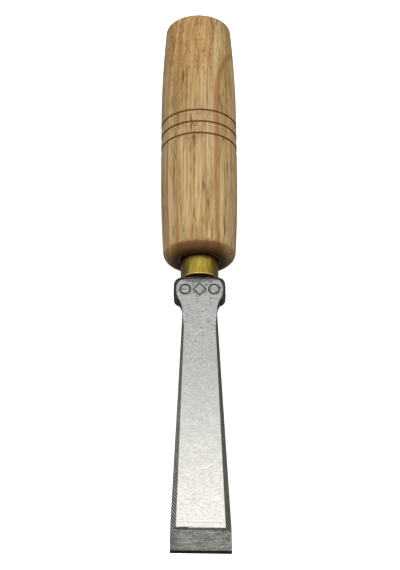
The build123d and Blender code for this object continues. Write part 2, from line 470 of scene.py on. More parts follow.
plank = grindPlank()
scoreBevel(plank)
tiltHone(plank)
splitUneven(plank)
print("blade ground:", len(plank.data.polygons), "faces")
combine(plank, drawFlare(), "UNION")
combine(plank, forgeBolster(), "UNION")
grindFlat(plank, (0, blade["heelFrom"], blade["heelThickness"]), faceNormal)
grindFlat(plank, (0, 0, 0), (0, 0, -1))
combine(plank, drawTang(), "UNION")
for name, x, sides, radius in (
        ("ring_left", -stamp["spacing"], stamp["ringSides"], stamp["ringRadius"]),
        ("lozenge", 0, 4, stamp["lozengeRadius"]),
        ("ring_right", stamp["spacing"], stamp["ringSides"], stamp["ringRadius"])):
    combine(plank, stampCutter(name, x, sides, radius), "DIFFERENCE")
softenArris(plank)


def onCoarseBevel(p):  # a little inside the cutting bevel's outline
    margin = blade["rippleMargin"]
    clear = p.z < blade["heelThickness"] - margin and p.z > blade["honeHeight"] + margin
    return abs(offBevel(p)) < 0.01 and clear and abs(p.x) < halfHeel - margin


def rippleBevel(piece):
    ground = vertexGroup(piece, "ripples", onCoarseBevel)
    roughen(piece, "grindRipples", ground, "CLOUDS", blade["rippleSize"], blade["rippleDepth"], 1.0)


def pitBevel(piece):
    for _ in range(bevelPits["count"]):
        pitX, pitY = random.uniform(*bevelPits["across"]), random.uniform(*bevelPits["along"])
        radius = random.uniform(*bevelPits["radius"])
        mesh = unselectMesh(piece)
        for vertex in mesh.vertices:
            p = vertex.co / mm
            near = (p - Vector((pitX, pitY, p.z))).length < radius
            vertex.select = near and onCoarseBevel(p - bevelNormal * offBevel(p))
        editSelected("VERT")
        bpy.ops.transform.translate(value=-bevelNormal * bevelPits["depth"] * mm)
        bpy.ops.object.mode_set(mode="OBJECT")


def isFlatSide(normal):
    slopes = (Vector(mirrored(sideBevelNormal, side)) for side in (-1, 1))
    return abs(normal.x) > 0.99 or any(normal.dot(slope) > 0.9999 for slope in slopes)


def keepFacesCrisp(piece):  # flat ground faces keep flat shading right up to their arrises
    def isFlat(middle, normal):
        return (normal.dot(faceNormal) > 0.9995 or normal.z < -0.9999
                or isFlatSide(normal) and middle.y < blade["neckFrom"])
    selectFaces(piece, isFlat)
    bpy.ops.mesh.faces_shade_flat()
    bpy.ops.mesh.region_to_loop()
    bpy.ops.mesh.mark_sharp()
    bpy.ops.object.mode_set(mode="OBJECT")


rippleBevel(plank)
pitBevel(plank)
smoothBy(plank, blade["smoothing"])
keepFacesCrisp(plank)
print("blade forged:", len(plank.data.polygons), "faces")


# Ferrule

ferrule = {
    "wall": 1.0, "lip": 0.3, "innerEase": 0.1, "rings": 14, "steps": 96,
    "dentSize": 4.0, "dentDepth": 0.05, "dentsFromFront": 1.0, "dentsFromRear": 1.8,
}
ferruleRadius = (ferruleHigh.x - ferruleLow.x) / 2 / mm


def drawFerrule():
    front, rear = ferruleLow.y / mm, ferruleHigh.y / mm
    outer, inner = ferruleRadius, ferruleRadius - ferrule["wall"]
    lip, rings, ease = ferrule["lip"], ferrule["rings"], ferrule["innerEase"]
    outline = [(rear, inner), (rear, outer)]
    outline += [(rear - (rear - front - lip) * n / rings, outer) for n in range(1, rings)]
    outline += arcPoints((front + lip, outer - lip), lip, 90, 180, 5)
    outline += [(front, inner + ease), (front + ease, inner), (rear - 4, inner), (rear, inner)]
    piece = turnOnLathe("brass_ferrule", outline, ferrule["steps"])

    def onTube(p):  # the outside, clear of the lip and of the handle's seat
        along = front + ferrule["dentsFromFront"] < p.y < rear - ferrule["dentsFromRear"]
        return along and p.x**2 + (p.z - turningHeight / mm)**2 > (outer - 0.2)**2
    tube = vertexGroup(piece, "tube", onTube)
    roughen(piece, "smallDents", tube, "CLOUDS", ferrule["dentSize"], ferrule["dentDepth"], 1.0)
    smoothBy(piece, 40)
    return piece


ring = drawFerrule()
print("ferrule turned:", len(ring.data.polygons), "faces")


# Handle

handle = {
    "length": 120.5, "shoulderRadius": 15.8, "endRadius": 14.9,
    "bellyFromShoulder": 42.0, "bellyFromEnd": 51.0, "shoulderRound": 4.5, "endRound": 1.8,
    "seatDepth": 1.5, "seatRadius": 8.7, "seatEase": 0.25, "boreRadius": 4.97, "boreDepth": 38.0,
    "pilotRadius": 3.65, "pilotEnd": 69.0, "pilotPoint": 2.2,
    "grooves": 3, "groovePitch": 6.0, "lastGrooveFromEnd": 53.0, "grooveDepth": 0.4,
    "grooveSlope": 2.5, "grooveWall": 0.35, "stationPitch": 1.6, "crownRings": 9, "steps": 128,
    "smoothing": 28,
}
shoulder = bolsterRear + 9.5
handleEnd = shoulder + handle["length"]
handleTip = handleHigh.y / mm
bellyRadius = (handleHigh.x - handleLow.x) / 2 / mm
lastGroove = handleEnd - handle["lastGrooveFromEnd"]
groovePlaces = [lastGroove - n * handle["groovePitch"] for n in range(handle["grooves"])]


def curveRadius(y, flatY, endY, endRadius):  # arc that leaves the belly's line without a corner
    run, drop = abs(endY - flatY), bellyRadius - endRadius
    sweep = (run**2 + drop**2) / (2 * drop)
    return bellyRadius - sweep + sqrt(sweep**2 - (y - flatY) ** 2)


def grooveCut(y):
    for place in groovePlaces:
        if place - handle["grooveSlope"] < y <= place:
            return handle["grooveDepth"] * (1 - (place - y) / handle["grooveSlope"])
        if place < y < place + handle["grooveWall"]:
            return handle["grooveDepth"] * (1 - (y - place) / handle["grooveWall"])
    return 0


def outsideRadius(y):
    bellyStart = shoulder + handle["bellyFromShoulder"]
    bellyStop = handleEnd - handle["bellyFromEnd"]
    if y < bellyStart:
        return curveRadius(y, bellyStart, shoulder, handle["shoulderRadius"])
    if y > bellyStop:
        return curveRadius(y, bellyStop, handleEnd, handle["endRadius"])
    return bellyRadius - grooveCut(y)


def turnHandle():
    rounding, rim = handle["shoulderRound"], handle["endRound"]
    tenonRadius = ferruleRadius - ferrule["wall"]
    seatFloor = shoulder + handle["seatDepth"]
    ease = handle["seatEase"]
    pilotEnd, boreEnd = bolsterRear + handle["pilotEnd"], bolsterRear + handle["boreDepth"]
    # inside first: pilot hole, bore, tenon and the ferrule's seat
    outline = [(pilotEnd + handle["pilotPoint"], 0), (pilotEnd, handle["pilotRadius"]),
               (boreEnd, handle["pilotRadius"]), (boreEnd, handle["boreRadius"]),
               (bolsterRear, handle["boreRadius"]),
               (bolsterRear, tenonRadius), (seatFloor, tenonRadius),
               (seatFloor, handle["seatRadius"]), (shoulder + ease, handle["seatRadius"])]
    outline += arcPoints((shoulder + ease, handle["seatRadius"] + ease), ease, 270, 180, 3)[1:]
    # shoulder rounding, ending on the long curve
    startRadius = outsideRadius(shoulder + rounding)
    centre = (shoulder + rounding, startRadius - rounding)
    outline += arcPoints(centre, rounding, 180, 90, 12)
    # long curves, belly and grooves
    stations = [shoulder + rounding + handle["stationPitch"] * n for n in range(1, 200)]
    for place in groovePlaces:
        stations += [place - handle["grooveSlope"] - 0.05, place - handle["grooveSlope"] / 2,
                     place - 0.15, place, place + handle["grooveWall"]]
    stations = sorted(y for y in stations if y < handleEnd - rim - 0.8)
    outline += [(y, outsideRadius(y)) for y in stations]
    # rounded rim and the domed striking end
    endRadius = outsideRadius(handleEnd - rim)
    outline += arcPoints((handleEnd - rim, endRadius - rim), rim, 90, 8, 8)
    crown, flat, rings = handleTip - handleEnd, endRadius - rim, handle["crownRings"]
    outline += [(handleEnd + crown * (1 - (radius / flat) ** 2) * 0.999, radius)
                for radius in (flat * (rings - n) / rings for n in range(1, rings))]
    outline += [(handleTip, 0)]
    piece = turnOnLathe("turned_handle", outline, handle["steps"])
    smoothBy(piece, handle["smoothing"])
    return piece


turned = turnHandle()
print("handle turned:", len(turned.data.polygons), "faces")


# Small helpers for materials

def colour(red, green, blue):  # 0 to 255, as a paint chart gives it
    def linear(value):
        value /= 255
        return value / 12.92 if value <= 0.04045 else ((value + 0.055) / 1.055) ** 2.4
    return (linear(red), linear(green), linear(blue), 1)


def feed(tree, socket, value):  # value is another node's output, or a plain number or colour
    if isinstance(value, bpy.types.NodeSocket):
        tree.links.new(value, socket)
    else:
        socket.default_value = value


def addNode(tree, kind, inputs=None, **settings):
    made = tree.nodes.new("ShaderNode" + kind)
    for name, value in settings.items():
        setattr(made, name, value)
    for name, value in (inputs or {}).items():
        feed(tree, made.inputs[name], value)
    return made


def calculate(tree, operation, first, second=0.0, third=0.0):
    made = addNode(tree, "Math", {0: first, 1: second, 2: third}, operation=operation)
    return made.outputs[0]


def times(tree, first, second):
    return calculate(tree, "MULTIPLY", first, second)


def apart(tree, first, second):  # how far two values differ
    return calculate(tree, "ABSOLUTE", calculate(tree, "SUBTRACT", first, second))


def band(tree, value, low, high, bottom=0.0, top=1.0):  # eased ramp from low to high
    made = addNode(tree, "MapRange", {
        "Value": value, "From Min": low, "From Max": high, "To Min": bottom, "To Max": top},
        interpolation_type="SMOOTHSTEP")
    return made.outputs["Result"]


def bandMm(tree, value, low, high, bottom=0.0, top=1.0):  # low and high in millimetres
    return band(tree, value, low * mm, high * mm, bottom, top)


def blendColours(tree, share, first, second):
    made = addNode(tree, "Mix", data_type="RGBA")
    for index, value in ((0, share), (6, first), (7, second)):
        feed(tree, made.inputs[index], value)
    return made.outputs[2]


def tint(tree, shade, mask, tone, share=None):  # lays a tone over a shade where the mask is
    if share is not None:
        mask = times(tree, mask, share)
    return blendColours(tree, mask, shade, tone)


def axes(tree, place):
    parts = addNode(tree, "SeparateXYZ", {0: place})
    return parts.outputs["X"], parts.outputs["Y"], parts.outputs["Z"]


def newEffect(name, output, **amounts):  # a shared node group: place and amounts in, one value out
    group = bpy.data.node_groups.new(name, "ShaderNodeTree")
    group.interface.new_socket("Place", in_out="INPUT", socket_type="NodeSocketVector")
    for amount, usual in amounts.items():
        socket = group.interface.new_socket(amount, in_out="INPUT", socket_type="NodeSocketFloat")
        socket.default_value = usual
    group.interface.new_socket(output, in_out="OUTPUT", socket_type="NodeSocketFloat")
    entry, leave = group.nodes.new("NodeGroupInput"), group.nodes.new("NodeGroupOutput")
    return group, entry.outputs, leave.inputs[output]


def effect(tree, group, **inputs):
    made = tree.nodes.new("ShaderNodeGroup")
    made.node_tree = group
    for name, value in inputs.items():
        feed(tree, made.inputs[name], value)
    return made.outputs[0]


def newMaterial(name, **settings):
    material = bpy.data.materials.new(name)
    material.use_nodes = True
    tree = material.node_tree
    shader = tree.nodes["Principled BSDF"]
    for socketName, value in settings.items():
        shader.inputs[socketName.replace("_", " ")].default_value = value
    place = addNode(tree, "TexCoord").outputs["Object"]
    return material, tree, shader, place


def connect(tree, shader, height=None, distance=0.01, **sockets):  # distance in millimetres
    for socketName, value in sockets.items():
        tree.links.new(value, shader.inputs[socketName.replace("_", " ")])
    if height is not None:
        bump = addNode(tree, "Bump", {"Height": height, "Distance": distance * mm})
        tree.links.new(bump.outputs["Normal"], shader.inputs["Normal"])


# Shared effects

def makeStreaks():  # noise drawn out along one way, such as grain, brushing or grinding
    group, given, result = newEffect(
        "streaks", "Value", Turn=0.0, Across=1000.0, Along=50.0, Detail=3.0)
    turned = addNode(group, "VectorRotate", {
        "Vector": given["Place"], "Axis": (0, 0, 1), "Angle": given["Turn"]})
    stretch = addNode(group, "CombineXYZ", {
        "X": given["Across"], "Y": given["Along"], "Z": given["Across"]})
    scaled = addNode(group, "VectorMath", {0: turned.outputs[0], 1: stretch.outputs[0]},
                     operation="MULTIPLY")
    noise = addNode(group, "TexNoise", {
        "Vector": scaled.outputs[0], "Scale": 1.0, "Detail": given["Detail"], "Roughness": 0.55})
    group.links.new(noise.outputs["Fac"], result)
    return group


def makeFlecks():  # scattered specks, such as pores, rust pits and stains
    group, given, result = newEffect(
        "flecks", "Mask", Across=1000.0, Along=1000.0, Radius=0.3, Share=0.5)
    stretch = addNode(group, "CombineXYZ", {
        "X": given["Across"], "Y": given["Along"], "Z": given["Across"]})
    scaled = addNode(group, "VectorMath", {0: given["Place"], 1: stretch.outputs[0]},
                     operation="MULTIPLY")
    cells = addNode(group, "TexVoronoi", {"Vector": scaled.outputs[0], "Scale": 1.0})
    chance = addNode(group, "SeparateColor", {"Color": cells.outputs["Color"]})
    grown = times(group, given["Radius"], band(group, chance.outputs["Green"], 0, 1, 0.5, 1.2))
    ratio = calculate(group, "DIVIDE", cells.outputs["Distance"], grown)
    fleck = band(group, ratio, 1.0, 0.45)
    present = calculate(group, "LESS_THAN", chance.outputs["Red"], given["Share"])
    group.links.new(times(group, fleck, present), result)
    return group


def makeEdgeWearAndGlint():  # picks out corners, as wear and as a painted highlight, broken up so that no edge is evenly worn
    group, given, result = newEffect("edgeWearAndGlint", "Mask", Width=0.0002, Size=900.0)
    rounded = addNode(group, "Bevel", {"Radius": given["Width"]}, samples=4)
    flat = addNode(group, "NewGeometry")
    same = addNode(group, "VectorMath", {0: rounded.outputs[0], 1: flat.outputs["Normal"]},
                   operation="DOT_PRODUCT")
    corner = band(group, same.outputs["Value"], 0.995, 0.9)
    noise = addNode(group, "TexNoise", {
        "Vector": given["Place"], "Scale": given["Size"], "Detail": 3.0})
    wornAndGlint = times(group, corner, band(group, noise.outputs["Fac"], 0.3, 0.6, 0.25, 1))
    group.links.new(wornAndGlint, result)
    return group


def makeMottle():  # soft uneven patches, such as tarnish, scale and handling
    group, given, result = newEffect("mottle", "Value", Size=300.0, Low=0.35, High=0.65)
    noise = addNode(group, "TexNoise", {
        "Vector": given["Place"], "Scale": given["Size"], "Detail": 5.0, "Roughness": 0.6})
    group.links.new(band(group, noise.outputs["Fac"], given["Low"], given["High"]), result)
    return group


streaks, flecks, edgeWearAndGlint, mottle = makeStreaks(), makeFlecks(), makeEdgeWearAndGlint(), makeMottle()


# Steel finishes

steel = {
    "face": (178, 178, 175), "faceDull": (151, 151, 149), "faceBright": (210, 208, 201),
    "faceBrightDull": (182, 180, 173), "stain": (76, 76, 74),
    "side": (160, 159, 152), "sideLine": (62, 61, 56),
    "bevel": (190, 189, 183), "bevelDark": (112, 111, 105), "rust": (74, 52, 36),
    # honed is near-black: a painted reflection of dark surroundings
    "honed": (40, 40, 40), "scale": (46, 47, 48), "scalePale": (112, 113, 114),
    "stampFloor": (88, 88, 88), "bright": (226, 226, 222),
}
steel = {name: colour(*chart) for name, chart in steel.items()}
steelWearAndShade = {  # where each mark begins and where it is full, along the tool unless it says otherwise
    "forwardLightening": (90.0, 12.0), "stains": (80.0, 104.0), "scribedLine": 11.8,
    "stampGrime": (3.6, 1.2), "scaleFromRear": (3.2, 1.4), "scaleArch": 22.0,
    "sideShade": (-2.0, 2.0), "neckShade": (50.0, 100.0),
    "rustAcross": (8.0, 10.5), "cornerAcross": (-8.0, -12.0), "heelLineUp": (4.3, 4.7),
    "scuffAcross": (7.5, 4.0), "scuffFromRear": (2.4, 1.4), "scuffUp": (6.0, 7.0),
}


def groundFaceSteel():
    material, tree, shader, place = newMaterial("groundFace", Metallic=1.0)
    hairs = effect(tree, streaks, Place=place, Turn=0.5, Across=2700.0, Along=1100.0)
    cross = effect(tree, streaks, Place=place, Turn=1.5, Across=2300.0, Along=520.0)
    grain = calculate(tree, "MULTIPLY_ADD", hairs, 0.5, times(tree, cross, 0.5))
    patches = effect(tree, mottle, Place=place, Size=170.0, Low=0.3, High=0.7)
    x, y, _ = axes(tree, place)
    shade = blendColours(tree, band(tree, grain, 0.4, 0.6), steel["faceDull"], steel["face"])
    shade = tint(tree, shade, patches, steel["faceDull"], 0.4)
    lighterForward = bandMm(tree, y, *steelWearAndShade["forwardLightening"], 0.0, 0.9)  # lighter towards the front end
    forwardTone = blendColours(
        tree, band(tree, grain, 0.4, 0.6), steel["faceBrightDull"], steel["faceBright"])
    forwardTone = tint(tree, forwardTone, patches, steel["faceBrightDull"], 0.35)
    shade = tint(tree, shade, lighterForward, forwardTone)
    # dark stains crowd towards the bolster, and a few lie further down
    stains = effect(tree, flecks, Place=place, Across=480.0, Along=640.0, Radius=0.32, Share=0.75)
    fewStains = effect(tree, flecks, Place=place, Across=120.0, Along=150.0, Radius=0.07, Share=0.3)
    crowded = times(tree, stains, bandMm(tree, y, *steelWearAndShade["stains"], 0.0, 0.65))
    spots = calculate(tree, "MAXIMUM", crowded, times(tree, fewStains, 0.5))
    shade = tint(tree, shade, spots, steel["stain"])
    # grime rubbed into the ornament, and forge scale left where the crown dips at the rear
    grimeAndShade = effect(tree, mottle, Place=place, Size=700.0, Low=0.42, High=0.62)
    offStamp = apart(tree, y, stampLine * mm)
    rubbedAndGlint = times(tree, bandMm(tree, offStamp, *steelWearAndShade["stampGrime"], 0, 0.45), grimeAndShade)
    shade = tint(tree, shade, rubbedAndGlint, steel["stain"])
    arch = calculate(tree, "MULTIPLY_ADD", times(tree, x, x), -steelWearAndShade["scaleArch"], y)
    arch = calculate(tree, "MULTIPLY_ADD", patches, 0.001, arch)
    arch = calculate(tree, "MULTIPLY_ADD", grimeAndShade, 0.0006, arch)
    scaleFrom, scaleTo = (bolsterRear - place for place in steelWearAndShade["scaleFromRear"])
    leftScale = bandMm(tree, arch, scaleFrom, scaleTo, 0, 0.6)
    shade = tint(tree, shade, leftScale, steel["scale"])
    # a fine scribed line just above the heel
    heelY = calculate(tree, "MULTIPLY_ADD", x, blade["heelSkew"] / blade["heelWidth"], y)
    offLine = apart(tree, heelY, steelWearAndShade["scribedLine"] * mm)
    shade = tint(tree, shade, bandMm(tree, offLine, 0.3, 0.1, 0, 0.3), steel["faceDull"])
    # the face's edges are lightened as wear and as a painted highlight
    wornAndGlint = effect(tree, edgeWearAndGlint, Place=place, Width=0.00018)
    shade = tint(tree, shade, wornAndGlint, steel["bright"], 0.8)
    rough = band(tree, grain, 0.3, 0.7, 0.4, 0.3)
    connect(tree, shader, height=grain, distance=0.0012, Base_Color=shade, Roughness=rough)
    return material


def sideBevelSteel():
    material, tree, shader, place = newMaterial("sideBevelGrind", Metallic=1.0)
    slanted = addNode(tree, "VectorRotate", {"Vector": place, "Axis": (0, 0, 1), "Angle": 0.95})
    hatch = addNode(tree, "TexWave", {
        "Vector": slanted.outputs[0], "Scale": 370.0, "Distortion": 0.5, "Detail": 1.0,
        "Detail Scale": 1.5}, bands_direction="Y")
    lines = band(tree, hatch.outputs["Fac"], 0.2, 0.8)
    patches = effect(tree, mottle, Place=place, Size=500.0, Low=0.3, High=0.7)
    lines = times(tree, lines, band(tree, patches, 0, 1, 0.6, 1))
    shade = blendColours(tree, lines, steel["sideLine"], steel["side"])
    x, y, _ = axes(tree, place)
    # painted shade: the right-hand side bevel is darker, as it faces away from the light
    shadedRightSide = bandMm(tree, x, *steelWearAndShade["sideShade"], 0, 0.6)
    shade = tint(tree, shade, shadedRightSide, steel["sideLine"])
    byNeck = bandMm(tree, y, *steelWearAndShade["neckShade"], 0, 0.5)
    shade = tint(tree, shade, byNeck, steel["sideLine"])
    # the edges are lightened as wear and as a painted highlight
    wornAndGlint = effect(tree, edgeWearAndGlint, Place=place, Width=0.00015)
    shade = tint(tree, shade, wornAndGlint, steel["bright"], 0.35)
    rough = band(tree, lines, 0, 1, 0.5, 0.36)
    connect(tree, shader, height=lines, distance=0.02, Base_Color=shade, Roughness=rough)
    return material


def coarseBevelSteel():
    material, tree, shader, place = newMaterial("coarseBevelGrind", Metallic=1.0)
    waves = effect(tree, streaks, Place=place, Turn=1.5, Across=2600.0, Along=1300.0, Detail=2.0)
    passes = effect(tree, streaks, Place=place, Turn=1.53, Across=1500.0, Along=150.0)
    waves = calculate(tree, "MULTIPLY_ADD", waves, 0.55, times(tree, passes, 0.45))
    blotches = effect(tree, mottle, Place=place, Size=330.0, Low=0.3, High=0.7)
    x, _, z = axes(tree, place)
    pits = effect(tree, flecks, Place=place, Across=1000.0, Along=1000.0, Radius=0.45, Share=0.55)
    rustArea = times(tree, bandMm(tree, x, *steelWearAndShade["rustAcross"]), pits)
    shade = blendColours(tree, band(tree, waves, 0.38, 0.62), steel["bevelDark"], steel["bevel"])
    shade = tint(tree, shade, blotches, steel["bevelDark"], 0.35)
    leftCorner = times(tree, bandMm(tree, x, *steelWearAndShade["cornerAcross"]),
                       band(tree, blotches, 0, 1, 0.5, 1))
    heelLine = bandMm(tree, z, *steelWearAndShade["heelLineUp"])
    dark = calculate(tree, "MAXIMUM", times(tree, leftCorner, 0.7), heelLine)
    shade = tint(tree, shade, dark, steel["sideLine"], 0.75)
    shade = tint(tree, shade, rustArea, steel["rust"], 0.95)
    height = calculate(tree, "SUBTRACT", waves, rustArea)
    rough = band(tree, waves, 0.3, 0.7, 0.46, 0.34)
    connect(tree, shader, height=height, distance=0.007, Base_Color=shade, Roughness=rough)
    return material


def honedEdgeSteel():
    material, tree, shader, place = newMaterial("honedEdge", Metallic=1.0)
    strokes = effect(tree, streaks, Place=place, Turn=1.57, Across=6000.0, Along=250.0)
    # painted reflection: the honed band takes a near-black colour for the dark that it reflects
    shade = blendColours(tree, band(tree, strokes, 0.35, 0.65), steel["honed"], steel["sideLine"])
    rough = band(tree, strokes, 0.3, 0.7, 0.2, 0.3)
    connect(tree, shader, height=strokes, distance=0.004, Base_Color=shade, Roughness=rough)
    return material


def forgeScaleSteel():
    material, tree, shader, place = newMaterial("forgeScale", Metallic=0.55)
    flakes = effect(tree, mottle, Place=place, Size=1300.0, Low=0.4, High=0.7)
    broad = effect(tree, mottle, Place=place, Size=300.0, Low=0.35, High=0.7)
    pits = effect(tree, flecks, Place=place, Across=1500.0, Along=1500.0, Radius=0.4, Share=0.35)
    shade = blendColours(tree, times(tree, flakes, 0.75), steel["scale"], steel["scalePale"])
    shade = tint(tree, shade, broad, steel["scale"], 0.5)
    # the crown's rear is scuffed grey where the ferrule was set
    x, y, z = axes(tree, place)
    scuffFrom, scuffTo = (bolsterRear - place for place in steelWearAndShade["scuffFromRear"])
    scuffed = times(tree, bandMm(tree, calculate(tree, "ABSOLUTE", x), *steelWearAndShade["scuffAcross"]),
                    bandMm(tree, y, scuffFrom, scuffTo))
    scuffed = times(tree, scuffed, bandMm(tree, z, *steelWearAndShade["scuffUp"]))
    scuffed = times(tree, scuffed, band(tree, flakes, 0, 1, 0.35, 0.95))
    shade = tint(tree, shade, scuffed, steel["faceDull"])
    wornAndGlint = effect(tree, edgeWearAndGlint, Place=place, Width=0.00025)
    shade = tint(tree, shade, wornAndGlint, steel["faceDull"], 0.45)
    height = calculate(tree, "SUBTRACT", flakes, times(tree, pits, 0.8))
    rough = band(tree, flakes, 0, 1, 0.62, 0.42)
    connect(tree, shader, height=height, distance=0.04, Base_Color=shade, Roughness=rough)
    return material


def stampedSteel():
    material, tree, shader, place = newMaterial("stampFloor", Metallic=0.7)
    grimeAndShade = effect(tree, mottle, Place=place, Size=1200.0)
    shade = blendColours(tree, times(tree, grimeAndShade, 0.6), steel["stampFloor"], steel["scale"])
    rough = band(tree, grimeAndShade, 0, 1, 0.45, 0.65)
    connect(tree, shader, height=grimeAndShade, distance=0.02, Base_Color=shade, Roughness=rough)
    return material


def arrisSteel():
    material, tree, shader, place = newMaterial("rubbedArris", Metallic=1.0)
    nicks = effect(tree, mottle, Place=place, Size=900.0, Low=0.35, High=0.6)
    shade = blendColours(tree, nicks, steel["faceDull"], steel["bright"])
    rough = band(tree, nicks, 0, 1, 0.5, 0.42)
    connect(tree, shader, height=nicks, distance=0.004, Base_Color=shade, Roughness=rough)
    return material


finishLimits = {  # depth below the ground face's plane, height above the back, place from the edge
    "faceDepth": 0.12, "faceAbove": 4.0, "stampDepth": 0.5, "stampAbove": 6.0, "backBelow": 0.02,
    "heelTo": 12.0, "honeTo": 3.0, "honeTop": 1.35, "pastNeck": 0.4,
}
finishes = {
    "scale": forgeScaleSteel(), "face": groundFaceSteel(), "side": sideBevelSteel(),
    "bevel": coarseBevelSteel(), "honed": honedEdgeSteel(), "stamped": stampedSteel(),
    "arris": arrisSteel(),
}


def finishFor(middle, normal):  # which of the finishes a face of the blade takes
    depth = faceHeight(middle.y) - middle.z
    limits = finishLimits
    byHeel = middle.y < limits["heelTo"]
    upwards = normal.dot(faceNormal)
    if upwards > 0.9 and depth < limits["faceDepth"] and middle.z > limits["faceAbove"]:
        return "face" if upwards > 0.9995 or byHeel else "arris"
    sunk = 0 < depth < limits["stampDepth"] and middle.z > limits["stampAbove"]
    if sunk and nearStamp(middle.x, middle.y):
        return "stamped"
    if normal.z < -0.98 and middle.z < limits["backBelow"] and middle.y < bolsterRear:
        return "face"
    if middle.y > blade["neckFrom"] + limits["pastNeck"]:
        return "scale"
    if normal.dot(bevelNormal) > 0.9 and byHeel:
        return "bevel" if middle.z > limits["honeTop"] or isBevel(middle, normal) else "honed"
    if middle.y < limits["honeTo"] and normal.y < -0.3:
        return "honed"
    return "side"


def dressBlade(piece):
    order = list(finishes)
    for material in finishes.values():
        piece.data.materials.append(material)
    for face in piece.data.polygons:
        face.material_index = order.index(finishFor(face.center / mm, face.normal))


dressBlade(plank)
print("steel finished")


# Brass, ash and glue

brass = {
    "clean": (198, 174, 80), "dull": (156, 134, 54), "olive": (92, 76, 28), "spot": (66, 48, 18),
    "shadow": (30, 24, 12), "seatShadow": (52, 36, 15), "lip": (206, 184, 106),
}
brassWearAndShade = {  # where each mark begins and where it is full, from the shoulder or the bolster; the sides, shoulder and seat marks are painted shade
    "sidesAcross": (3.2, 5.6), "byShoulder": (-3.0, -0.3), "inSeatShadow": (-1.3, -0.7),
    "lipFromBolster": (0.55, 0.25), "endFromBolster": (0.09, 0.04),
}


def ferruleBrass():
    tones = {name: colour(*chart) for name, chart in brass.items()}
    material, tree, shader, place = newMaterial("brushedBrass", Metallic=1.0)
    brushed = effect(tree, streaks, Place=place, Across=900.0, Along=160.0, Detail=4.0)
    tarnish = effect(tree, mottle, Place=place, Size=260.0, Low=0.4, High=0.72)
    spots = effect(tree, flecks, Place=place, Across=620.0, Along=620.0, Radius=0.2, Share=0.35)
    shade = blendColours(tree, band(tree, brushed, 0.35, 0.65), tones["dull"], tones["clean"])
    shade = tint(tree, shade, tarnish, tones["dull"], 0.5)
    x, y, _ = axes(tree, place)
    fromShoulder = calculate(tree, "SUBTRACT", y, shoulder * mm)
    fromBolster = calculate(tree, "SUBTRACT", y, bolsterRear * mm)
    # painted shade: olive towards the sides, where the tube turns from the light, and a painted shadow
    # near the handle's shoulder
    grimeAndShade = calculate(
        tree, "MAXIMUM", bandMm(tree, fromShoulder, *brassWearAndShade["byShoulder"], 0, 0.85),
        bandMm(tree, calculate(tree, "ABSOLUTE", x), *brassWearAndShade["sidesAcross"], 0, 0.7))
    shade = tint(tree, shade, grimeAndShade, tones["olive"])
    shade = tint(tree, shade, spots, tones["spot"], 0.7)
    # painted shadow in the seat, just before the handle's shoulder
    inSeatShadow = bandMm(tree, fromShoulder, *brassWearAndShade["inSeatShadow"], 0, 0.85)
    shade = tint(tree, shade, inSeatShadow, tones["seatShadow"])
    # a bright rubbed lip, and a dark end face in the bolster's shade
    shade = tint(tree, shade, bandMm(tree, fromBolster, *brassWearAndShade["lipFromBolster"]), tones["lip"])
    endFace = bandMm(tree, fromBolster, *brassWearAndShade["endFromBolster"])
    shade = tint(tree, shade, endFace, tones["shadow"])
    rough = band(tree, tarnish, 0, 1, 0.32, 0.44)
    connect(tree, shader, height=brushed, distance=0.01, Base_Color=shade, Roughness=rough)
    return material


ash = {
    "pale": (207, 179, 131), "golden": (184, 151, 94), "rosy": (206, 172, 128),
    "green": (184, 161, 105), "warm": (158, 106, 50), "latewood": (140, 98, 48),
    "pore": (88, 46, 12), "speck": (124, 72, 24), "grooveDark": (94, 54, 6), "endGrainAndShade": (104, 66, 26),
    # the darkest end tone is painted shade, the black one a painted shadow, and root a painted glint at
    # the seat's rim
    "deepEndShade": (44, 26, 10), "tenonShadow": (14, 10, 8), "honey": (196, 154, 92), "root": (186, 154, 108),
    "hairline": (222, 196, 146),
}
ashRings = {
    "width": 4.6, "leanX": 0.05, "leanZ": -0.07, "pithX": -4.0, "pithZ": -14.0, "sway": 14.0,
    "lineSway": 6.0,
}
# growth lines on the front: place across at their foot, how much they bend, and from where
ashLines = {
    "inner": {"across": 3.2, "bend": 3.0, "from": 205.0, "width": 0.6, "share": 0.75},
    "streak": {"across": 7.8, "bend": 7.8, "from": 203.0, "width": 1.9, "share": 0.8},
    "outer": {"across": -13.9, "bend": 1.7, "from": 198.0, "width": 0.6, "share": 0.6},
    "foot": {"across": -9.6, "bend": 2.6, "from": 214.0, "width": 1.1, "share": 0.5},
}
ashMarksAndPaintedLight = {  # where each mark begins and where it is full, along the tool unless it says otherwise
    "honey": (200, 236), "honeyAcross": (8, 3), "linesUp": (4, 8), "hairlineBeside": 0.75,
    "shortPores": (198, 230), "shortPoresAcross": (10, 3), "longPores": (200, 240),
    "wallDark": (0.55, 0.14), "slopeDark": (0.3, 0.1),
    "fromShoulder": (5.4, 3.8), "shoulderAcross": (8, 14), "strikingEnd": 1.6, "unevenness": 3.0,
    "deepFromAxis": (14.8, 9.5), "deepFromShoulder": (1.6, 0.4), "seatEdgeGlint": (0.3, 0.1),
}


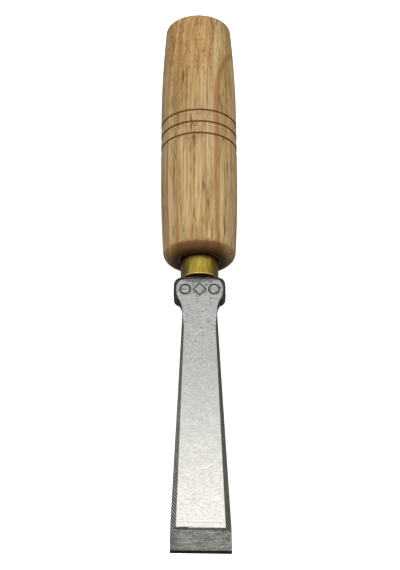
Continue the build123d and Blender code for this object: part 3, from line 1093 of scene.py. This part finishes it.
def growthRings(tree, spot, wander):  # rings about a pith that leans across the blank
    x, y, z = spot
    pithX = calculate(tree, "MULTIPLY_ADD", y, ashRings["leanX"], ashRings["pithX"] * mm)
    pithZ = calculate(tree, "MULTIPLY_ADD", y, ashRings["leanZ"], ashRings["pithZ"] * mm)
    fromX, fromZ = calculate(tree, "SUBTRACT", x, pithX), calculate(tree, "SUBTRACT", z, pithZ)
    squared = calculate(tree, "MULTIPLY_ADD", fromX, fromX, times(tree, fromZ, fromZ))
    radius = calculate(tree, "MULTIPLY_ADD", wander, ashRings["sway"] * mm,
                       calculate(tree, "SQRT", squared))
    ringPlace = calculate(tree, "FRACT", calculate(tree, "DIVIDE", radius, ashRings["width"] * mm))
    return band(tree, ringPlace, 0.45, 0.03), band(tree, ringPlace, 0.72, 1.0)


def growthLine(tree, spot, line, wobble, beside=0.0):  # how near a point is to a growth line
    x, y, z = spot
    beyond = calculate(tree, "MAXIMUM", calculate(tree, "SUBTRACT", y, line["from"] * mm), 0.0)
    bent = times(tree, times(tree, beyond, beyond), line["bend"])
    foot = line["across"] + beside - ashRings["lineSway"] / 2
    across = calculate(tree, "MULTIPLY_ADD", wobble, ashRings["lineSway"] * mm,
                       calculate(tree, "ADD", bent, foot * mm))
    near = bandMm(tree, apart(tree, x, across), line["width"], 0.1)
    return times(tree, near, bandMm(tree, z, *ashMarksAndPaintedLight["linesUp"]))


def ashBands(tree, place, tones, drift, bands):  # broad colour drift, then finer bands
    rosyDrift = effect(tree, streaks, Place=place, Turn=0.03, Across=470.0, Along=9.0)
    greenDrift = effect(tree, streaks, Place=place, Turn=-0.02, Across=380.0, Along=6.0)
    fineBands = effect(tree, streaks, Place=place, Across=1500.0, Along=22.0, Detail=2.0)
    shade = blendColours(tree, band(tree, drift, 0.44, 0.56), tones["golden"], tones["pale"])
    shade = tint(tree, shade, band(tree, rosyDrift, 0.52, 0.6, 0, 0.8), tones["rosy"])
    shade = tint(tree, shade, band(tree, greenDrift, 0.53, 0.6, 0, 0.7), tones["green"])
    shade = tint(tree, shade, band(tree, bands, 0.54, 0.63, 0, 0.45), tones["latewood"])
    return tint(tree, shade, band(tree, fineBands, 0.55, 0.66, 0, 0.45), tones["latewood"])


def warmEnd(tree, place, spot, tones, shade):  # the striking half is honey-coloured and speckled
    x, y, _ = spot
    mottled = effect(tree, streaks, Place=place, Across=420.0, Along=90.0, Detail=5.0)
    honeyed = times(tree, bandMm(tree, y, *ashMarksAndPaintedLight["honey"]), bandMm(tree, x, *ashMarksAndPaintedLight["honeyAcross"]))
    shade = tint(tree, shade, honeyed, tones["honey"], 0.6)
    speckled = times(tree, honeyed, band(tree, mottled, 0.44, 0.6, 0.05, 0.5))
    return tint(tree, shade, speckled, tones["warm"])


def openPores(tree, place, spot, early, drift):  # gives back the long pores and the short ones
    x, y, _ = spot
    longPores = effect(tree, flecks, Place=place, Across=760.0, Along=92.0, Radius=0.42, Share=0.62)
    finePores = effect(tree, flecks, Place=place, Across=1250.0, Along=150.0, Radius=0.44, Share=0.7)
    shortPores = effect(tree, flecks, Place=place, Across=1150.0, Along=330.0, Radius=0.45, Share=0.85)
    pores = calculate(tree, "MAXIMUM", longPores, times(tree, finePores, 0.75))
    crowding = calculate(tree, "MULTIPLY_ADD", early, 0.3, 0.7)
    patchy = band(tree, drift, 0.42, 0.56, 1.0, 0.35)
    pores = times(tree, pores, times(tree, crowding, patchy))
    pores = times(tree, pores, bandMm(tree, y, *ashMarksAndPaintedLight["longPores"], 1.0, 0.55))
    atEnd = times(tree, bandMm(tree, y, *ashMarksAndPaintedLight["shortPores"]),
                  bandMm(tree, x, *ashMarksAndPaintedLight["shortPoresAcross"], 0.2, 1.0))
    return pores, times(tree, shortPores, atEnd)


def grooveDarkening(tree, y):  # sharp at each groove's wall, faint where its slope starts
    first, last = groovePlaces[-1], groovePlaces[0]
    cycle = calculate(tree, "WRAP", y, (first + 3.5) * mm, (first + 3.5 - handle["groovePitch"]) * mm)
    fromWall = apart(tree, cycle, (first + 0.1) * mm)
    fromSlope = apart(tree, cycle, (first - handle["grooveSlope"] + 0.15) * mm)
    grooveDark = calculate(tree, "MAXIMUM", bandMm(tree, fromWall, *ashMarksAndPaintedLight["wallDark"], 0, 0.92),
                     bandMm(tree, fromSlope, *ashMarksAndPaintedLight["slopeDark"], 0, 0.28))
    grooved = times(tree, calculate(tree, "GREATER_THAN", y, (first - 3.2) * mm),
                    calculate(tree, "LESS_THAN", y, (last + 1) * mm))
    return times(tree, grooveDark, grooved)


def darkEnds(tree, spot, bands):  # end grain drinks the finish, and the shoulder's rounding is also darkened as painted shade where it turns from the light
    x, y, _ = spot
    uneven = calculate(tree, "MULTIPLY_ADD", bands, ashMarksAndPaintedLight["unevenness"] * mm, y)
    high, low = (shoulder + place for place in ashMarksAndPaintedLight["fromShoulder"])
    sideways = bandMm(tree, calculate(tree, "ABSOLUTE", x), *ashMarksAndPaintedLight["shoulderAcross"], 1, 0.45)
    shoulderGrainAndShade = times(tree, bandMm(tree, uneven, high, low, 0, 0.9), sideways)
    strikingEnd = bandMm(tree, uneven, handleEnd, handleEnd + ashMarksAndPaintedLight["strikingEnd"], 0, 0.4)
    return calculate(tree, "MAXIMUM", shoulderGrainAndShade, strikingEnd)


def shadeSeat(tree, spot, tones, shade, drift):  # painted shade, with end grain, darkest by the ferrule, and a painted glint on the rim of its seat
    x, y, z = spot
    upright = calculate(tree, "SUBTRACT", z, turningHeight)
    squared = calculate(tree, "MULTIPLY_ADD", x, x, times(tree, upright, upright))
    fromAxis = calculate(tree, "SQRT", squared)
    high, low = (shoulder + place for place in ashMarksAndPaintedLight["deepFromShoulder"])
    deep = times(tree, bandMm(tree, fromAxis, *ashMarksAndPaintedLight["deepFromAxis"], 0.1, 0.85),
                 bandMm(tree, y, high, low))
    shade = tint(tree, shade, deep, tones["deepEndShade"])
    # painted glint: a pale ring on the rim of the ferrule's seat
    offSeat = apart(tree, fromAxis, (handle["seatRadius"] + 0.2) * mm)
    rubbedAndGlint = times(tree, bandMm(tree, offSeat, *ashMarksAndPaintedLight["seatEdgeGlint"], 0, 0.8),
                   band(tree, drift, 0.4, 0.56))
    rubbedAndGlint = times(tree, rubbedAndGlint, calculate(tree, "LESS_THAN", y, (shoulder + 1) * mm))
    shade = tint(tree, shade, rubbedAndGlint, tones["root"])
    inTenonShadow = calculate(tree, "LESS_THAN", y, (bolsterRear + 0.5) * mm)  # painted shadow on the tenon's front, in the dark gap under the bolster
    return tint(tree, shade, inTenonShadow, tones["tenonShadow"])


def handleAsh():
    tones = {name: colour(*chart) for name, chart in ash.items()}
    material, tree, shader, place = newMaterial(
        "varnishedAsh", Coat_Weight=0.15, Coat_Roughness=0.3, Specular_IOR_Level=0.3)
    spot = axes(tree, place)
    wander = effect(tree, streaks, Place=place, Across=80.0, Along=11.0, Detail=2.0)
    drift = effect(tree, streaks, Place=place, Across=330.0, Along=8.0, Detail=3.0)
    bands = effect(tree, streaks, Place=place, Across=820.0, Along=13.0, Detail=2.0)
    fibres = effect(tree, streaks, Place=place, Across=2300.0, Along=42.0, Detail=4.0)
    early, late = growthRings(tree, spot, wander)
    shade = ashBands(tree, place, tones, drift, bands)
    shade = tint(tree, shade, late, tones["latewood"], 0.4)
    shade = tint(tree, shade, early, tones["latewood"], 0.2)
    shade = warmEnd(tree, place, spot, tones, shade)
    sway = calculate(tree, "MULTIPLY_ADD", wander, 0.7, times(tree, bands, 0.3))
    for line in ashLines.values():
        shade = tint(tree, shade, growthLine(tree, spot, line, sway), tones["warm"], line["share"])
    hairline = growthLine(tree, spot, ashLines["outer"], sway, ashMarksAndPaintedLight["hairlineBeside"])
    shade = tint(tree, shade, hairline, tones["hairline"], 0.55)
    shade = tint(tree, shade, band(tree, fibres, 0.48, 0.66, 0, 0.5), tones["latewood"])
    pores, shortPores = openPores(tree, place, spot, early, drift)
    shade = tint(tree, shade, shortPores, tones["speck"], 0.65)
    shade = tint(tree, shade, pores, tones["pore"])
    shade = tint(tree, shade, grooveDarkening(tree, spot[1]), tones["grooveDark"])
    endsAndShade = darkEnds(tree, spot, bands)
    shade = tint(tree, shade, endsAndShade, tones["endGrainAndShade"])
    shade = shadeSeat(tree, spot, tones, shade, drift)
    height = calculate(tree, "SUBTRACT", times(tree, fibres, 0.35), pores)
    rough = calculate(tree, "MAXIMUM", band(tree, drift, 0.3, 0.7, 0.46, 0.38),
                      times(tree, endsAndShade, 0.75))
    connect(tree, shader, height=height, distance=0.03, Base_Color=shade, Roughness=rough)
    return material


glue = {
    # the darkest tone is a painted shadow in the gap by the bolster
    "amber": (150, 110, 52), "honey": (188, 150, 84), "bubble": (214, 190, 140), "glueShadow": (16, 11, 8),
    "glueShadowReach": 3.0,
}


def beddingGlue():
    material, tree, shader, place = newMaterial("beddingGlue", Coat_Weight=0.1)
    bubbles = effect(tree, flecks, Place=place, Across=1400.0, Along=1400.0, Radius=0.35, Share=0.4)
    clouds = effect(tree, mottle, Place=place, Size=350.0)
    shade = blendColours(tree, clouds, colour(*glue["amber"]), colour(*glue["honey"]))
    shade = tint(tree, shade, bubbles, colour(*glue["bubble"]))
    _, y, _ = axes(tree, place)
    inGlueShadow = bandMm(tree, y, bolsterRear + glue["glueShadowReach"], bolsterRear + 1)  # painted shadow by the bolster, where the glue sits in the dark gap
    shade = tint(tree, shade, inGlueShadow, colour(*glue["glueShadow"]))
    rough = band(tree, clouds, 0, 1, 0.25, 0.4)
    connect(tree, shader, height=bubbles, distance=0.05, Base_Color=shade, Roughness=rough)
    return material


def dress(piece, material):
    piece.data.materials.clear()
    piece.data.materials.append(material)


dress(ring, ferruleBrass())
dress(turned, handleAsh())
dress(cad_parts["tang_glue"], beddingGlue())
print("brass, ash and glue finished")

for piece, node, slotName in (
        (plank, "blade", "steel"), (ring, "ferrule", "brass"), (turned, "handle", "ash")):
    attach(piece, "root")
    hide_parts(node)


# Floor, light and camera

studio = {"floorTilt": 0.097, "floorSize": 12.0, "floorGlow": 0.8, "floorShade": (243, 250)}
softboxes = {
    "overheadSoftbox": {
        "place": (0, 0.035, 0.95), "aim": (0, 0.035, 0), "size": (1.6, 0.77), "light": 1.35},
    "leftPanel": {"place": (-0.95, 0.2, 0.3), "aim": (0, 0.18, 0), "size": (0.8, 0.5), "light": 0.7},
    "rightPanel": {"place": (0.95, 0.2, 0.3), "aim": (0, 0.18, 0), "size": (0.8, 0.5), "light": 0.7},
    "rearPanel": {"place": (0, 1.3, 0.6), "aim": (0, 0.2, 0), "size": (1.6, 0.7), "light": 0.6},
}
camera = {"y": -0.16676, "z": 0.61617, "lens": 97.89, "dip": 25.0, "roll": -0.28, "yaw": 0.0148}


def layFloor():  # tilted to meet the cutting edge and the handle's shoulder
    clearSelection()
    tilt = atan2(-studio["floorTilt"], 1)
    bpy.ops.mesh.primitive_plane_add(
        size=studio["floorSize"], location=(0, 0, 0), rotation=(tilt, 0, 0))
    floor = namePiece("floor")
    material, tree, shader, place = newMaterial(
        "paleFloor", Roughness=0.9, Emission_Strength=studio["floorGlow"])
    clouds = effect(tree, mottle, Place=place, Size=3.0)
    darker, lighter = (colour(tone, tone, tone) for tone in studio["floorShade"])
    shade = blendColours(tree, clouds, darker, lighter)
    connect(tree, shader, Base_Color=shade, Emission_Color=shade)
    dress(floor, material)
    floor.visible_diffuse = False
    floor.visible_glossy = False


def hangSoftbox(name, box):
    light = bpy.data.lights.new(name, "AREA")
    light.shape = "RECTANGLE"
    light.size, light.size_y = box["size"]
    light.energy = box["light"] * pi * light.size * light.size_y
    lamp = bpy.data.objects.new(name, light)
    bpy.context.scene.collection.objects.link(lamp)
    lamp.location = box["place"]
    aim = Vector(box["aim"]) - Vector(box["place"])
    lamp.rotation_euler = aim.to_track_quat("-Z", "Y").to_euler()


def lightRoom():  # a dim room, brighter above and behind, that shows as plain white
    world = bpy.data.worlds.new("studioRoom")
    bpy.context.scene.world = world
    world.use_nodes = True
    tree = world.node_tree
    _, y, z = axes(tree, addNode(tree, "TexCoord").outputs["Generated"])
    upward = band(tree, z, -0.1, 0.9, 0.14, 0.62)
    rearward = band(tree, y, -0.6, 0.6, 0.0, 0.16)
    room = calculate(tree, "ADD", upward, rearward)
    seen = addNode(tree, "LightPath").outputs["Is Camera Ray"]
    strength = calculate(tree, "MAXIMUM", room, seen)
    tree.links.new(strength, tree.nodes["Background"].inputs["Strength"])
    tree.nodes["Background"].inputs["Color"].default_value = (1, 1, 1, 1)


def placeCamera():
    dip, roll, yaw = radians(camera["dip"]), radians(camera["roll"]), radians(camera["yaw"])
    right, upward = Vector((1, 0, 0)), Vector((0, cos(dip), sin(dip)))
    ahead = Vector((0, sin(dip), -cos(dip)))
    turnedAhead = cos(yaw) * ahead + sin(yaw) * right
    turnedRight = cos(yaw) * right - sin(yaw) * ahead
    axisX = cos(roll) * turnedRight + sin(roll) * upward
    axisY = cos(roll) * upward - sin(roll) * turnedRight
    data = bpy.data.cameras.new("camera")
    data.lens = camera["lens"]
    data.sensor_width = 36
    eye = bpy.data.objects.new("camera", data)
    bpy.context.scene.collection.objects.link(eye)
    columns = Matrix((axisX, axisY, -turnedAhead)).transposed()
    eye.matrix_world = Matrix.Translation((0, camera["y"], camera["z"])) @ columns.to_4x4()
    bpy.context.scene.camera = eye


layFloor()
for name, box in softboxes.items():
    hangSoftbox(name, box)
lightRoom()
placeCamera()
bpy.context.scene.view_settings.view_transform = "Standard"
print("studio ready")
